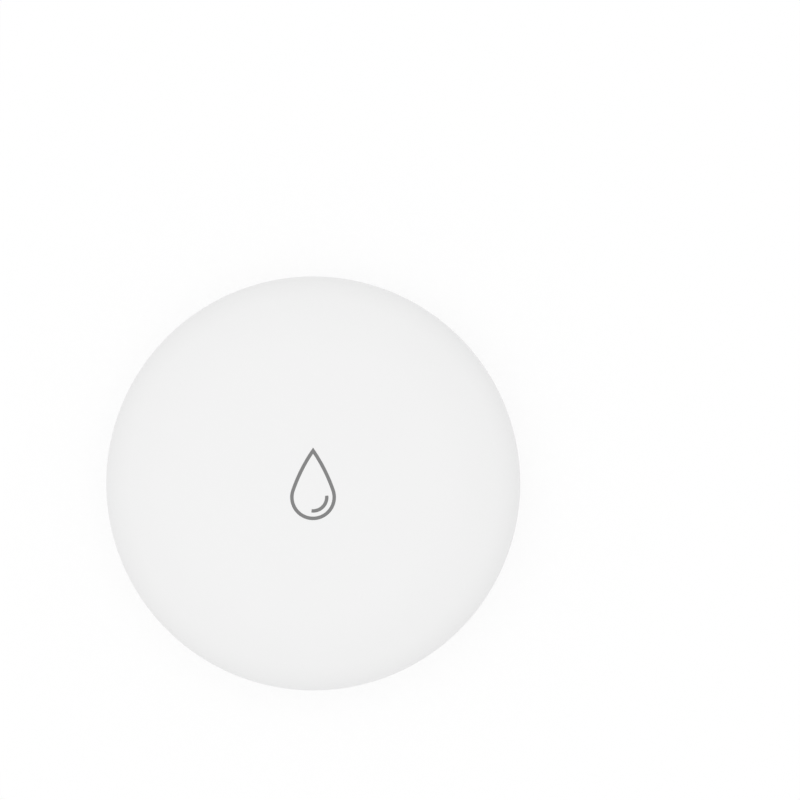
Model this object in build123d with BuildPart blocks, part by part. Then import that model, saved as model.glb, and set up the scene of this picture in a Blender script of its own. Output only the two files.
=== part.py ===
"""Puck-shaped water leak sensor: a domed housing on a twist-off base that carries two probes."""

import math
import os

from build123d import *

# All lengths are in millimetres. The part stands on the floor at Z = 0, with the dome up along +Z
# and the tip of the drop mark towards +Y.

# Running and seating clearances
running_gap = 0.05
seat_gap = 0.1
free_gap = 0.2
slope_gap = 0.3
overrun = 1.0

# Outer form of the base
chamfer_width = 3.08
chamfer_height = 1.43
neck_gap = 1.46

# Outer form of the domed body: a round edge, a shoulder and a flat crown, each tangent to the next
edge_radius = 4.66
shoulder_radius = 22.5
back_angle = 46.7
edge_angle = 23.2
crown_angle = 5.7

# Base cover
cover_wall = 0.83
cover_floor = 1.3
spigot_wall = 1.3
notch_width = 11.0
notch_depth = 0.66

# Quick thread: the cover's lugs rest on the housing's lugs, and one turn lifts by the lead
thread_starts = 4
thread_lead = 15.0
lug_width = 3.4
lug_height = 0.7
lug_reach = 0.6
lug_gap = 0.06
lug_clearance = 0.15

# Probes, which are screws with a broad head, their seals and nuts
probe_inset = 2.1
probe_head_radius = 2.0
probe_head_height = 0.8
probe_head_round = 0.2
probe_recess = 0.05
probe_thread_radius = 0.8
probe_hole_gap = 0.1
probe_boss_wall = 0.8
probe_boss_rise = 0.7
probe_end_rise = 0.15
probe_seal_height = 0.25
nut_across_flats = 3.2
nut_height = 1.3
nut_chamfer = 0.15
cross_width = 0.6
cross_depth = 0.45
cross_length = 2.2

# Coin cell and its foam pad
cell_radius = 10.0
cell_height = 3.2
can_wall = 0.25
cap_height = 0.3
cap_step = 0.45
grommet_wall = 0.4
core_gap = 0.1
pad_radius = 6.0
pad_height = 0.55

# Contact strips
strip = 0.2
strip_bend = 0.35
contact_room = 1.1
negative_width = 3.0
negative_foot_end = 6.5
negative_foot_start = 2.0
negative_touch = -3.5
negative_curl = -5.5
negative_curl_rise = 0.5
positive_angle = 24.0
positive_drop = 2.6
positive_foot = 1.7
probe_contact_width = 1.6
probe_contact_half = 0.85

# Lower housing
neck_wall = 2.05
neck_floor_gap = 0.4
housing_plate = 1.3
plate_overhang = 3.85
compartment_floor = 1.82
spigot_end_gap = 0.3
battery_wall = 0.9
seal_groove_depth = 0.7
edge_ring_width = 1.5
edge_ring_rise = 0.58
board_rib_inset = 0.75
board_rib_width = 1.0
board_rib_rise = 0.38
peg_radius = 0.6
peg_rise = 0.3
window_width = 2.6
window_length = 2.6
window_offset = 0.2

# Seals
battery_seal_round = 0.3
case_seal_section = 0.78
case_seal_groove = 0.9
case_seal_drop = 0.95

# Top shell and its screws
shell_wall = 1.5
skirt_wall = 2.6
screw_count = 4
screw_start_angle = 45.0
screw_head_radius = 1.4
screw_head_height = 0.8
screw_thread_radius = 0.85
screw_length = 6.0
screw_tip = 0.4
screw_hole_gap = 0.03
screw_cross_width = 0.45
screw_cross_length = 1.7
boss_radius = 2.0

# Button, which is the dome's elastic centre, and the drop mark in it
button_radius = 7.95
button_thickness = 0.8
post_radius = 1.5
mark_depth = 0.2
mark_stroke = 0.42
mark_round_radius = 2.76
mark_round_centre = -1.63
mark_tip = 4.35
mark_join_angle = 19.0
glint_radius = 1.65
glint_sweep = 90.0

# Circuit board
board_gap = 0.8
board_thickness = 1.0
boss_hole_gap = 0.3

# Tact switch
switch_size = 6.0
switch_height = 3.1
switch_floor = 0.8
switch_cover_height = 0.3
switch_total_height = 5.0
cavity_radius = 2.3
plunger_radius = 1.75
plunger_flange = 0.4
plunger_flange_height = 0.6
plunger_tip_radius = 0.9
snap_height = 0.15
snap_gap = 0.3
terminal_width = 0.7
terminal_foot = 1.0
terminal_rise = 1.0
terminal_place = 2.25

# Parts soldered on the board: length, width and height
led_size = (2.0, 1.25, 0.8)
radio_size = (5.0, 5.0, 0.85)
crystal_size = (3.2, 2.5, 0.8)
antenna_size = (9.0, 2.2, 1.0)
capacitor_size = (3.5, 2.8, 1.9)
passive_size = (1.6, 0.8, 0.5)
part_edge_share = 0.12

# Places on the board, as shares of its radius
led_place_shares = (0.0, 0.27)
radio_place_shares = (-0.6, 0.0)
crystal_place_shares = (-0.6, -0.28)
antenna_place_shares = (0.0, 0.86)
capacitor_place_shares = (0.62, 0.2)
passive_place_shares = (
    (-0.33, 0.2),
    (-0.33, 0.1),
    (0.36, -0.2),
    (0.36, -0.1),
    (0.36, 0.0),
    (-0.17, -0.62),
    (-0.05, -0.62),
    (0.07, -0.62),
    (-0.12, 0.7),
    (0.12, 0.7),
    (0.62, -0.1),
    (0.62, -0.2),
)

# Radii from the coin cell outwards: its bore, the probes and screws round it, the spigot, the neck,
# the cover's rim, and the plate that closes the domed body
battery_gap = strip + 2 * running_gap
battery_bore_radius = cell_radius + battery_gap
battery_wall_radius = battery_bore_radius + battery_wall
probe_place_radius = battery_bore_radius + probe_inset
screw_place_radius = battery_wall_radius + screw_head_radius + free_gap
nut_reach = probe_place_radius + nut_across_flats / 2
screw_reach = screw_place_radius + screw_head_radius + seat_gap
spigot_inner_radius = max(nut_reach, screw_reach) + running_gap
spigot_outer_radius = spigot_inner_radius + spigot_wall
neck_inner_radius = spigot_outer_radius + lug_reach + lug_clearance
neck_radius = neck_inner_radius + neck_wall
rim_inner_radius = neck_radius + free_gap
rim_radius = rim_inner_radius + cover_wall
foot_radius = rim_radius - chamfer_width
plate_radius = neck_radius + plate_overhang
opening_radius = plate_radius + seat_gap
body_radius = opening_radius + skirt_wall
board_radius = plate_radius - edge_ring_width - board_gap
board_rib_radius = neck_radius - board_rib_inset

# Heights from the cover's floor upwards: the cell, the board over it, and the housing round them
cell_bottom_z = cover_floor + pad_height + running_gap
cell_top_z = cell_bottom_z + cell_height
board_bottom_z = cell_top_z + contact_room
board_top_z = board_bottom_z + board_thickness
compartment_top_z = board_bottom_z - board_rib_rise
compartment_bottom_z = compartment_top_z - compartment_floor
back_z = compartment_top_z - housing_plate
widest_z = back_z + edge_radius * math.sin(math.radians(back_angle))
rim_top_z = back_z - neck_gap
spigot_top_z = compartment_bottom_z - spigot_end_gap
neck_bottom_z = cover_floor + neck_floor_gap
edge_top_z = compartment_top_z + edge_ring_rise
probe_head_top_z = probe_recess + probe_head_height
probe_seal_top_z = probe_head_top_z + probe_seal_height
probe_boss_top_z = cover_floor + probe_boss_rise
nut_top_z = probe_boss_top_z + nut_height
probe_end_z = nut_top_z + probe_end_rise
plunger_top_z = board_top_z + switch_total_height

# Slopes of the chamfer and of the thread's lugs
chamfer_tilt = math.atan2(chamfer_height, chamfer_width)
lug_climb = thread_lead * lug_width / (4 * math.pi * spigot_outer_radius)


def slope_height(radius):
    """Height of the inner face of the cover's sloping wall."""
    return cover_wall / math.cos(chamfer_tilt) + (radius - foot_radius) * math.tan(chamfer_tilt)


def slope_radius(height):
    """Radius at which the inner face of the cover's sloping wall has a height."""
    return foot_radius + (height - cover_wall / math.cos(chamfer_tilt)) / math.tan(chamfer_tilt)


def leaning(angle):
    """Unit step that leans outwards from straight up by an angle in degrees."""
    return Vector(math.sin(math.radians(angle)), math.cos(math.radians(angle)))


# The dome's three tangent arcs, seen in the plane of the axis
edge_centre = Vector(body_radius - edge_radius, widest_z)
shoulder_centre = edge_centre - leaning(edge_angle) * (shoulder_radius - edge_radius)
crown_radius = shoulder_radius + shoulder_centre.X / leaning(crown_angle).X
crown_centre = shoulder_centre - leaning(crown_angle) * (crown_radius - shoulder_radius)
apex_z = crown_centre.Y + crown_radius


def dome_height(radius):
    """Height of the dome's outer face inside its shoulder's outer end."""
    if radius < crown_radius * leaning(crown_angle).X:
        return crown_centre.Y + math.sqrt(crown_radius**2 - radius**2)
    return shoulder_centre.Y + math.sqrt(shoulder_radius**2 - (radius - shoulder_centre.X) ** 2)


def dome_top(inset):
    """Draws the arcs from the crown's middle to the round edge, moved inwards by an inset."""
    crown_end = crown_centre + leaning(crown_angle) * (crown_radius - inset)
    crown_middle = crown_centre + leaning(crown_angle / 2) * (crown_radius - inset)
    shoulder_end = shoulder_centre + leaning(edge_angle) * (shoulder_radius - inset)
    shoulder_middle = leaning((crown_angle + edge_angle) / 2) * (shoulder_radius - inset) + shoulder_centre
    ThreePointArc((0, apex_z - inset), crown_middle, crown_end)
    ThreePointArc(crown_end, shoulder_middle, shoulder_end)
    return shoulder_end


def ring(inner_radius, outer_radius, low_z, high_z, mode=Mode.ADD):
    """Adds a plain ring about the axis."""
    with BuildSketch(Plane.XY.offset(low_z)) as face:
        Circle(outer_radius)
        Circle(inner_radius, mode=Mode.SUBTRACT)
    extrude(face.sketch, amount=high_z - low_z, mode=mode)


def disc(radius, low_z, high_z, mode=Mode.ADD):
    """Adds a plain disc about the axis."""
    with BuildSketch(Plane.XY.offset(low_z)) as face:
        Circle(radius)
    extrude(face.sketch, amount=high_z - low_z, mode=mode)


def cross_recess(length, width, depth, low_z):
    """Cuts a cross recess upwards into a screw head."""
    with BuildSketch(Plane.XY.offset(low_z - overrun)) as face:
        Rectangle(length, width)
        Rectangle(width, length)
    extrude(face.sketch, amount=overrun + depth, mode=Mode.SUBTRACT)


def thread_lug(inner_radius, outer_radius, bottom_z):
    """One lug of the quick thread, at +X, whose faces climb with the thread."""
    half = lug_width / 2
    with BuildPart() as lug:
        with BuildSketch(Plane.YZ):
            with BuildLine():
                Polyline(
                    (-half, bottom_z - lug_climb),
                    (half, bottom_z + lug_climb),
                    (half, bottom_z + lug_climb + lug_height),
                    (-half, bottom_z - lug_climb + lug_height),
                    close=True,
                )
            make_face()
        extrude(amount=outer_radius + overrun)
        ring(inner_radius, outer_radius, bottom_z - lug_height, bottom_z + lug_height * 2, Mode.INTERSECT)
    return lug.part


def soldered_block(size, place_shares, label):
    """One chip with softened edges, standing on the board."""
    length, width, height = size
    east, north = place_shares
    with BuildPart() as block:
        with BuildSketch(Plane.XY.offset(board_top_z)):
            with Locations((east * board_radius, north * board_radius)):
                Rectangle(length, width)
        extrude(amount=height)
        chamfer(block.edges().group_by(Axis.Z)[-1], length=height * part_edge_share)
    block.part.label = label
    return block.part


os.makedirs("parts", exist_ok=True)

# Base cover: the chamfered foot with a raised spigot ring, which carries the thread's outer lugs
lug_bottom_z = spigot_top_z - lug_height - lug_climb
cover_lug = thread_lug(spigot_inner_radius, spigot_outer_radius + lug_reach, lug_bottom_z)
probe_places = [(0, -probe_place_radius), (0, probe_place_radius)]
notch_start = math.sqrt(rim_inner_radius**2 - (notch_width / 2) ** 2) - free_gap
with BuildPart() as base_cover:
    with BuildSketch(Plane.XZ):
        with BuildLine():
            Polyline(
                (0, 0),
                (foot_radius, 0),
                (rim_radius, chamfer_height),
                (rim_radius, rim_top_z),
                (rim_inner_radius, rim_top_z),
                (rim_inner_radius, slope_height(rim_inner_radius)),
                (slope_radius(cover_floor), cover_floor),
                (spigot_outer_radius, cover_floor),
                (spigot_outer_radius, spigot_top_z),
                (spigot_inner_radius, spigot_top_z),
                (spigot_inner_radius, cover_floor),
                (0, cover_floor),
                close=True,
            )
        make_face()
    revolve(axis=Axis.Z)
    with PolarLocations(0, thread_starts):
        add(cover_lug)
    with BuildSketch(Plane.XY.offset(cover_floor)):
        with Locations(*probe_places):
            Circle(probe_head_radius + probe_boss_wall)
        Circle(battery_bore_radius, mode=Mode.SUBTRACT)
    extrude(amount=probe_boss_rise)
    with BuildSketch(Plane.XY):
        with Locations(*probe_places):
            Circle(probe_head_radius + running_gap)
    extrude(amount=probe_seal_top_z, mode=Mode.SUBTRACT)
    with BuildSketch(Plane.XY):
        with Locations(*probe_places):
            Circle(probe_thread_radius + probe_hole_gap)
    extrude(amount=probe_boss_top_z, mode=Mode.SUBTRACT)
    for side in (-1, 1):
        with BuildSketch(Plane.YZ.offset(side * notch_start)):
            with BuildLine():
                Polyline(
                    (-notch_width / 2 + notch_depth, rim_top_z - notch_depth),
                    (notch_width / 2 - notch_depth, rim_top_z - notch_depth),
                    (notch_width / 2 + notch_depth, rim_top_z + notch_depth),
                    (-notch_width / 2 - notch_depth, rim_top_z + notch_depth),
                    close=True,
                )
            make_face()
        extrude(amount=side * (rim_radius + overrun - notch_start), mode=Mode.SUBTRACT)
base_cover.part.label = "base_cover"
export_step(base_cover.part, "parts/base_cover.step")

# Probes: two screws whose broad heads lie just inside the foot's face
for probe_name, (probe_x, probe_y) in zip(("probe_front", "probe_back"), probe_places):
    with BuildPart() as probe:
        disc(probe_head_radius, probe_recess, probe_head_top_z)
        disc(probe_thread_radius, probe_head_top_z, probe_end_z)
        fillet(probe.edges().filter_by(GeomType.CIRCLE).group_by(Axis.Z)[0], radius=probe_head_round)
        chamfer(probe.edges().filter_by(GeomType.CIRCLE).group_by(Axis.Z)[-1], length=probe_end_rise)
        cross_recess(cross_length, cross_width, cross_depth, probe_recess)
    placed_probe = Pos(probe_x, probe_y, 0) * probe.part
    placed_probe.label = probe_name
    export_step(placed_probe, f"parts/{probe_name}.step")

# Probe nuts on the inner face of the cover
with BuildPart() as probe_nuts:
    with BuildSketch(Plane.XY.offset(probe_boss_top_z)):
        with Locations(*probe_places):
            RegularPolygon(nut_across_flats / 2, side_count=6, major_radius=False)
    extrude(amount=nut_height)
    chamfer(probe_nuts.edges().group_by(Axis.Z)[-1], length=nut_chamfer)
    with BuildSketch(Plane.XY.offset(probe_boss_top_z)):
        with Locations(*probe_places):
            Circle(probe_thread_radius + screw_hole_gap)
    extrude(amount=nut_height, mode=Mode.SUBTRACT)
probe_nuts.part.label = "probe_nuts"
export_step(probe_nuts.part, "parts/probe_nuts.step")

# Probe seals, squeezed under the heads
with BuildPart() as probe_seals:
    with BuildSketch(Plane.XY.offset(probe_head_top_z)):
        with Locations(*probe_places):
            Circle(probe_head_radius - seat_gap)
            Circle(probe_thread_radius + running_gap, mode=Mode.SUBTRACT)
    extrude(amount=probe_seal_height)
probe_seals.part.label = "probe_seals"
export_step(probe_seals.part, "parts/probe_seals.step")

# Foam pad that presses the cell towards its contacts
with BuildPart() as battery_pad:
    disc(pad_radius, cover_floor, cover_floor + pad_height)
battery_pad.part.label = "battery_pad"
export_step(battery_pad.part, "parts/battery_pad.step")

# Seal ring between the housing and the end of the cover's spigot
with BuildPart() as battery_seal:
    ring(
        spigot_inner_radius + seat_gap,
        spigot_outer_radius - seat_gap,
        spigot_top_z + running_gap,
        compartment_bottom_z + seal_groove_depth - running_gap,
    )
    fillet(battery_seal.edges().group_by(Axis.Z)[0], radius=battery_seal_round)
battery_seal.part.label = "battery_seal"
export_step(battery_seal.part, "parts/battery_seal.step")

# Lower housing: a plate inside the shell, the neck, and the compartment's floor with its bore
housing_lug = thread_lug(
    spigot_outer_radius + lug_clearance,
    neck_inner_radius + neck_wall / 2,
    lug_bottom_z - lug_height - lug_gap,
)
case_seal_z = edge_top_z - case_seal_drop
groove_low_z = case_seal_z - case_seal_groove / 2
groove_high_z = case_seal_z + case_seal_groove / 2
groove_radius = plate_radius - case_seal_section + seat_gap
rib_inner_radius = board_rib_radius - board_rib_width / 2
rib_outer_radius = board_rib_radius + board_rib_width / 2
window_place_radius = probe_place_radius + window_offset
window_places = [(0, -window_place_radius), (0, window_place_radius)]
with BuildPart() as lower_housing:
    with BuildSketch(Plane.XZ):
        with BuildLine():
            Polyline(
                (battery_bore_radius, nut_top_z + running_gap),
                (battery_wall_radius, nut_top_z + running_gap),
                (battery_wall_radius, compartment_bottom_z),
                (spigot_inner_radius + running_gap, compartment_bottom_z),
                (spigot_inner_radius + running_gap, compartment_bottom_z + seal_groove_depth),
                (spigot_outer_radius - running_gap, compartment_bottom_z + seal_groove_depth),
                (spigot_outer_radius - running_gap, compartment_bottom_z),
                (neck_inner_radius, compartment_bottom_z),
                (neck_inner_radius, neck_bottom_z),
                (slope_radius(neck_bottom_z - slope_gap), neck_bottom_z),
                (neck_radius, slope_height(neck_radius) + slope_gap),
                (neck_radius, back_z),
                (plate_radius, back_z),
                (plate_radius, groove_low_z),
                (groove_radius, groove_low_z),
                (groove_radius, groove_high_z),
                (plate_radius, groove_high_z),
                (plate_radius, edge_top_z),
                (plate_radius - edge_ring_width, edge_top_z),
                (plate_radius - edge_ring_width, compartment_top_z),
                (rib_outer_radius, compartment_top_z),
                (rib_outer_radius, board_bottom_z),
                (rib_inner_radius, board_bottom_z),
                (rib_inner_radius, compartment_top_z),
                (battery_bore_radius, compartment_top_z),
                close=True,
            )
        make_face()
    revolve(axis=Axis.Z)
    with PolarLocations(0, thread_starts):
        add(housing_lug)
    with BuildSketch(Plane.XY.offset(board_bottom_z)):
        with PolarLocations(board_rib_radius, 2):
            Circle(peg_radius)
    extrude(amount=board_thickness + peg_rise)
    with BuildSketch(Plane.XY.offset(compartment_bottom_z)):
        with Locations(*window_places):
            Rectangle(window_width, window_length)
    extrude(amount=compartment_floor, mode=Mode.SUBTRACT)
    with BuildSketch(Plane.XY.offset(compartment_bottom_z)):
        with PolarLocations(screw_place_radius, screw_count, start_angle=screw_start_angle):
            Circle(screw_head_radius + seat_gap)
    extrude(amount=screw_head_height + seat_gap, mode=Mode.SUBTRACT)
    with BuildSketch(Plane.XY.offset(compartment_bottom_z)):
        with PolarLocations(screw_place_radius, screw_count, start_angle=screw_start_angle):
            Circle(screw_thread_radius + seat_gap)
    extrude(amount=compartment_floor, mode=Mode.SUBTRACT)
lower_housing.part.label = "lower_housing"
export_step(lower_housing.part, "parts/lower_housing.step")

# Case seal: a round ring in the groove of the housing's edge
with BuildPart() as case_seal:
    with BuildSketch(Plane.XZ):
        with Locations(((groove_radius + opening_radius) / 2, case_seal_z)):
            Circle(case_seal_section / 2)
    revolve(axis=Axis.Z)
case_seal.part.label = "case_seal"
export_step(case_seal.part, "parts/case_seal.step")

# Top shell: the dome with a straight skirt inside, a round hole for the button and four screw bosses
back_radius = edge_centre.X + edge_radius * math.cos(math.radians(back_angle))
inner_edge_radius = edge_radius - shell_wall
inner_lean = math.degrees(math.asin((opening_radius - edge_centre.X) / inner_edge_radius))
inner_edge_middle = edge_centre + leaning((inner_lean + edge_angle) / 2) * inner_edge_radius
skirt_top_z = (edge_centre + leaning(inner_lean) * inner_edge_radius).Y
boss_top_z = dome_height(screw_place_radius + boss_radius) - shell_wall / 2
screw_end_z = compartment_bottom_z + seat_gap + screw_head_height + screw_length
with BuildPart() as top_shell:
    with BuildSketch(Plane.XZ):
        with BuildLine():
            outer_shoulder_end = dome_top(0)
            ThreePointArc(outer_shoulder_end, (body_radius, widest_z), (back_radius, back_z))
            Polyline((back_radius, back_z), (0, back_z), (0, apex_z))
        make_face()
    revolve(axis=Axis.Z)
    with BuildSketch(Plane.XZ):
        with BuildLine():
            inner_shoulder_end = dome_top(shell_wall)
            ThreePointArc(inner_shoulder_end, inner_edge_middle, (opening_radius, skirt_top_z))
            Polyline(
                (opening_radius, skirt_top_z),
                (opening_radius, back_z),
                (0, back_z),
                (0, apex_z - shell_wall),
            )
        make_face()
    revolve(axis=Axis.Z, mode=Mode.SUBTRACT)
    with BuildSketch(Plane.XY.offset(compartment_top_z)):
        with PolarLocations(screw_place_radius, screw_count, start_angle=screw_start_angle):
            Circle(boss_radius)
    extrude(amount=boss_top_z - compartment_top_z)
    with BuildSketch(Plane.XY.offset(compartment_top_z)):
        with PolarLocations(screw_place_radius, screw_count, start_angle=screw_start_angle):
            Circle(screw_thread_radius + screw_hole_gap)
    extrude(amount=screw_end_z + seat_gap - compartment_top_z, mode=Mode.SUBTRACT)
    disc(button_radius + running_gap, compartment_top_z, apex_z + overrun, Mode.SUBTRACT)
top_shell.part.label = "top_shell"
export_step(top_shell.part, "parts/top_shell.step")

# Case screws: four pan-head screws with a cross recess, driven up from the battery compartment
screw_head_z = compartment_bottom_z + seat_gap
with BuildPart() as screw:
    disc(screw_head_radius, screw_head_z, screw_head_z + screw_head_height)
    disc(screw_thread_radius, screw_head_z + screw_head_height, screw_end_z)
    chamfer(screw.edges().filter_by(GeomType.CIRCLE).group_by(Axis.Z)[-1], length=screw_tip)
    fillet(screw.edges().filter_by(GeomType.CIRCLE).group_by(Axis.Z)[0], radius=screw_head_height / 3)
    cross_recess(screw_cross_length, screw_cross_width, screw_head_height / 2, screw_head_z)
with BuildPart() as case_screws:
    with PolarLocations(screw_place_radius, screw_count, start_angle=screw_start_angle):
        add(screw.part)
case_screws.part.label = "case_screws"
export_step(case_screws.part, "parts/case_screws.step")

# Button: a disc of the crown with a post that reaches down to the switch
button_bottom_z = dome_height(button_radius) - button_thickness
with BuildPart() as button_blank:
    with BuildSketch(Plane.XZ):
        with BuildLine():
            ThreePointArc(
                (0, apex_z),
                (button_radius / 2, dome_height(button_radius / 2)),
                (button_radius, dome_height(button_radius)),
            )
            Polyline(
                (button_radius, dome_height(button_radius)),
                (button_radius, button_bottom_z),
                (0, button_bottom_z),
                (0, apex_z),
            )
        make_face()
    revolve(axis=Axis.Z)

# Drop mark: an outline drop with a quarter-round glint, inlaid flush with the crown
join_x = mark_round_radius * math.cos(math.radians(mark_join_angle))
join_y = mark_round_radius * math.sin(math.radians(mark_join_angle)) + mark_round_centre
with BuildPart() as drop_mark:
    with BuildSketch(Plane.XY.offset(apex_z - mark_depth)) as mark_face:
        with BuildLine():
            right_side = TangentArc(
                (join_x, join_y),
                (0, mark_tip),
                tangent=(mark_round_centre - join_y, join_x),
            )
            mirror(right_side, about=Plane.YZ)
            ThreePointArc((join_x, join_y), (0, mark_round_centre - mark_round_radius), (-join_x, join_y))
        make_face()
        offset(amount=-mark_stroke, mode=Mode.SUBTRACT)
        with BuildLine():
            glint = CenterArc(
                (0, mark_round_centre),
                glint_radius,
                start_angle=-glint_sweep,
                arc_size=glint_sweep,
            )
        SlotArc(glint, height=mark_stroke)
    extrude(amount=mark_depth + overrun)
    add(button_blank.part, mode=Mode.INTERSECT)
drop_mark.part.label = "drop_mark"
export_step(drop_mark.part, "parts/drop_mark.step")

with BuildPart() as button_disc:
    add(button_blank.part)
    disc(post_radius, plunger_top_z, button_bottom_z)
    with BuildSketch(Plane.XY.offset(apex_z - mark_depth)):
        add(mark_face.sketch)
    extrude(amount=mark_depth + overrun, mode=Mode.SUBTRACT)
button_disc.part.label = "button_disc"
export_step(button_disc.part, "parts/button_disc.step")

# Circuit board with holes for the screw bosses and the two locating pegs
with BuildPart() as circuit_board:
    disc(board_radius, board_bottom_z, board_top_z)
    with BuildSketch(Plane.XY.offset(board_bottom_z)):
        with PolarLocations(screw_place_radius, screw_count, start_angle=screw_start_angle):
            Circle(boss_radius + boss_hole_gap)
        with PolarLocations(board_rib_radius, 2):
            Circle(peg_radius + seat_gap)
    extrude(amount=board_thickness, mode=Mode.SUBTRACT)
circuit_board.part.label = "circuit_board"
export_step(circuit_board.part, "parts/circuit_board.step")

# Coin cell, positive face down: the can, its core, the grommet and the cap
cell_inner_radius = cell_radius - can_wall
cap_radius = cell_inner_radius - grommet_wall - cap_step
with BuildPart() as cell_can:
    disc(cell_radius, cell_bottom_z, cell_top_z - can_wall)
    chamfer(cell_can.edges().group_by(Axis.Z)[0], length=can_wall / 2)
    disc(cell_inner_radius, cell_bottom_z + can_wall, cell_top_z, Mode.SUBTRACT)
cell_can.part.label = "cell_can"
export_step(cell_can.part, "parts/cell_can.step")

with BuildPart() as cell_core:
    disc(
        cell_inner_radius - grommet_wall - core_gap,
        cell_bottom_z + can_wall,
        cell_top_z - cap_height - core_gap,
    )
cell_core.part.label = "cell_core"
export_step(cell_core.part, "parts/cell_core.step")

with BuildPart() as cell_grommet:
    ring(
        cell_inner_radius - grommet_wall,
        cell_inner_radius,
        cell_bottom_z + can_wall,
        cell_top_z - can_wall,
    )
cell_grommet.part.label = "cell_grommet"
export_step(cell_grommet.part, "parts/cell_grommet.step")

with BuildPart() as cell_cap:
    disc(cap_radius, cell_top_z - cap_height, cell_top_z)
    chamfer(cell_cap.edges().group_by(Axis.Z)[-1], length=cap_height / 2)
    disc(cell_inner_radius - grommet_wall, cell_top_z - cap_height - core_gap, cell_top_z - cap_height)
cell_cap.part.label = "cell_cap"
export_step(cell_cap.part, "parts/cell_cap.step")

# Negative contact: a leaf under the board that springs onto the cell's cap
strip_top_z = board_bottom_z - strip / 2
touch_z = cell_top_z + running_gap + strip / 2
with BuildPart() as negative_contact:
    with BuildSketch(Plane.XZ.offset(-negative_width / 2)):
        with BuildLine():
            FilletPolyline(
                (negative_foot_end, strip_top_z),
                (negative_foot_start, strip_top_z),
                (negative_touch, touch_z),
                (negative_curl, touch_z + negative_curl_rise),
                radius=strip_bend,
            )
        trace(line_width=strip)
    extrude(amount=negative_width)
negative_contact.part.label = "negative_contact"
export_step(negative_contact.part, "parts/negative_contact.step")

# Positive contact: a curved strip beside the can, with a foot under the board
positive_inner_radius = cell_radius + running_gap
with BuildPart() as positive_contact:
    ring(
        positive_inner_radius,
        positive_inner_radius + strip,
        board_bottom_z - positive_drop,
        board_bottom_z,
    )
    ring(
        positive_inner_radius,
        positive_inner_radius + positive_foot,
        board_bottom_z - strip,
        board_bottom_z,
    )
    with BuildSketch(Plane.XY.offset(board_bottom_z - positive_drop)):
        with BuildLine():
            reach = positive_inner_radius + positive_foot + overrun
            wedge_end = reach * math.tan(math.radians(positive_angle / 2))
            Polyline((0, 0), (reach, -wedge_end), (reach, wedge_end), close=True)
        make_face()
    extrude(amount=positive_drop, mode=Mode.INTERSECT)
positive_contact.part.label = "positive_contact"
export_step(positive_contact.part, "parts/positive_contact.step")

# Probe contacts: bent strips that hang through the housing's windows and touch the probes' ends
for contact_name, side in (("probe_contact_front", -1), ("probe_contact_back", 1)):
    touch_z = probe_end_z + running_gap + strip / 2
    leg_y = side * (probe_place_radius + probe_contact_half)
    free_y = side * (probe_place_radius - probe_contact_half)
    with BuildPart() as probe_contact:
        with BuildSketch(Plane.YZ.offset(-probe_contact_width / 2)):
            with BuildLine():
                FilletPolyline(
                    (free_y, strip_top_z),
                    (leg_y, strip_top_z),
                    (leg_y, touch_z),
                    (free_y, touch_z),
                    radius=strip_bend,
                )
            trace(line_width=strip)
        extrude(amount=probe_contact_width)
    probe_contact.part.label = contact_name
    export_step(probe_contact.part, f"parts/{contact_name}.step")

# Tact switch: a square housing with a round well
switch_top_z = board_top_z + switch_height
with BuildPart() as switch_housing:
    with BuildSketch(Plane.XY.offset(board_top_z)):
        Rectangle(switch_size, switch_size)
    extrude(amount=switch_height)
    disc(cavity_radius, board_top_z + switch_floor, switch_top_z, Mode.SUBTRACT)
switch_housing.part.label = "switch_housing"
export_step(switch_housing.part, "parts/switch_housing.step")

with BuildPart() as switch_cover:
    with BuildSketch(Plane.XY.offset(switch_top_z)):
        Rectangle(switch_size, switch_size)
        Circle(plunger_radius + seat_gap, mode=Mode.SUBTRACT)
    extrude(amount=switch_cover_height)
switch_cover.part.label = "switch_cover"
export_step(switch_cover.part, "parts/switch_cover.step")

with BuildPart() as switch_snap:
    disc(cavity_radius - seat_gap, board_top_z + switch_floor, board_top_z + switch_floor + snap_height)
switch_snap.part.label = "switch_snap"
export_step(switch_snap.part, "parts/switch_snap.step")

# Terminals: four bent pins between the switch's sides and the board
with BuildPart() as switch_terminals:
    for side in (-1, 1):
        with BuildSketch(Plane.XZ):
            with BuildLine():
                wall_x = side * switch_size / 2
                Polyline(
                    (wall_x, board_top_z),
                    (wall_x + side * terminal_foot, board_top_z),
                    (wall_x + side * terminal_foot, board_top_z + strip),
                    (wall_x + side * strip, board_top_z + strip),
                    (wall_x + side * strip, board_top_z + terminal_rise),
                    (wall_x, board_top_z + terminal_rise),
                    close=True,
                )
            make_face()
        extrude(amount=terminal_place + terminal_width / 2, both=True)
    with BuildSketch(Plane.XY.offset(board_top_z)):
        Rectangle(switch_size + 2 * (terminal_foot + overrun), 2 * terminal_place - terminal_width)
    extrude(amount=terminal_rise, mode=Mode.SUBTRACT)
switch_terminals.part.label = "switch_terminals"
export_step(switch_terminals.part, "parts/switch_terminals.step")

# Plunger: a stem above the cover plate, a flange below it and a tip over the snap disc
flange_top_z = switch_top_z - running_gap
tip_z = board_top_z + switch_floor + snap_height + snap_gap
with BuildPart() as switch_plunger:
    disc(plunger_radius, flange_top_z, plunger_top_z)
    disc(plunger_radius + plunger_flange, flange_top_z - plunger_flange_height, flange_top_z)
    disc(plunger_tip_radius, tip_z, flange_top_z - plunger_flange_height)
switch_plunger.part.label = "switch_plunger"
export_step(switch_plunger.part, "parts/switch_plunger.step")

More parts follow.
